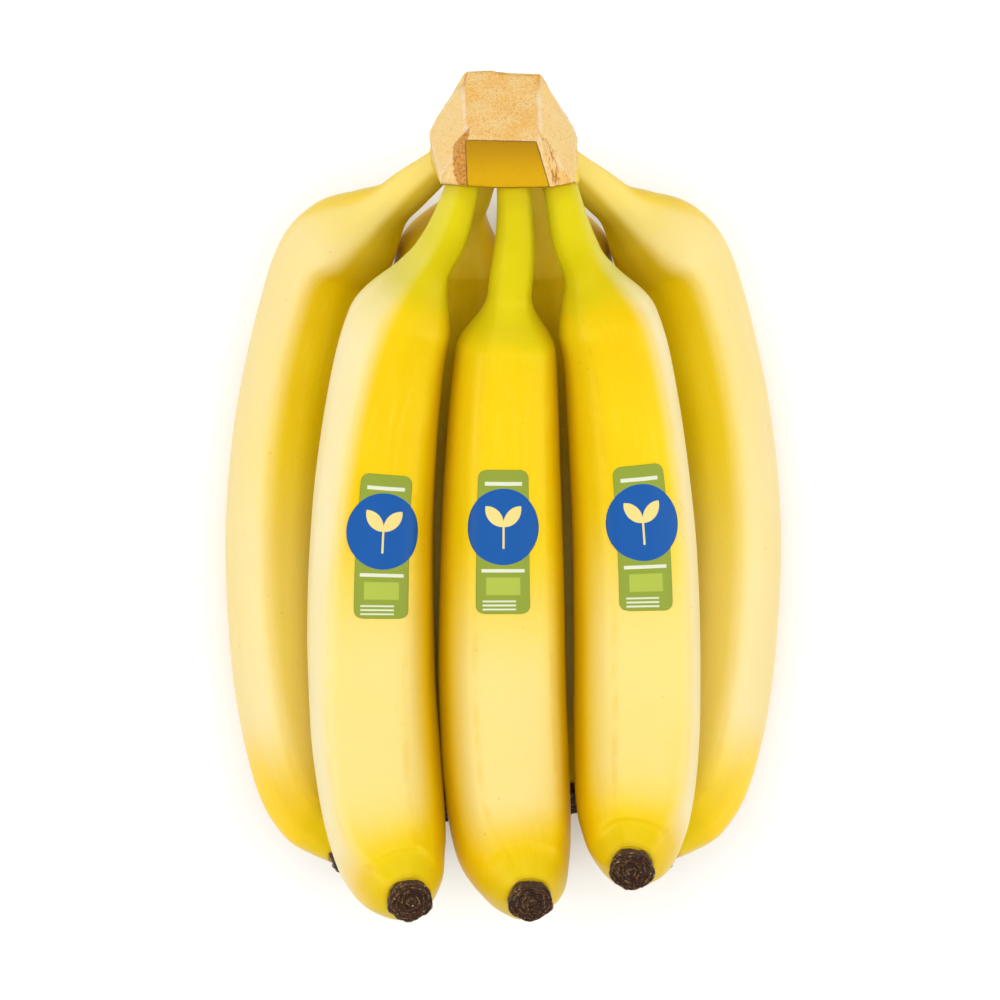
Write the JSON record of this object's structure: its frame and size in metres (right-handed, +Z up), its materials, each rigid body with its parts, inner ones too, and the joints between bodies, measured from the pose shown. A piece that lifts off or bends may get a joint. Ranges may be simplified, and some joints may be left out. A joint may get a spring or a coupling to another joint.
{
  "type": "bunch of bananas",
  "caption": "Hand of ripe yellow bananas on one cut crown, in two curved rows, lying on its rounded backs with dried blossom tips and plain round stickers.",
  "frame": {"origin": "on the ground under the middle of the hand's outline", "axes": "+Y from the blossom tips towards the crown, +X across the hand, +Z up, out of its hollow side"},
  "size_m": [0.1638, 0.2396, 0.0929],
  "materials": {
    "banana_skin": "smooth waxy fruit skin",
    "crown": "dry cut fibrous plant tissue",
    "dried_tip": "dry, rough, nearly black",
    "sticker": "satin printed label"
  },
  "bodies": {
    "root": {"crown": "crown", "banana_inner_left": "banana_skin", "banana_inner_middle": "banana_skin", "banana_inner_right": "banana_skin", "banana_outer_far_left": "banana_skin", "banana_outer_left": "banana_skin", "banana_outer_right": "banana_skin", "banana_outer_far_right": "banana_skin", "tip_inner_left": "dried_tip", "tip_inner_middle": "dried_tip", "tip_inner_right": "dried_tip", "tip_outer_far_left": "dried_tip", "tip_outer_left": "dried_tip", "tip_outer_right": "dried_tip", "tip_outer_far_right": "dried_tip", "sticker_inner_left": "sticker", "sticker_inner_middle": "sticker", "sticker_inner_right": "sticker"}
  },
  "joints": []
}
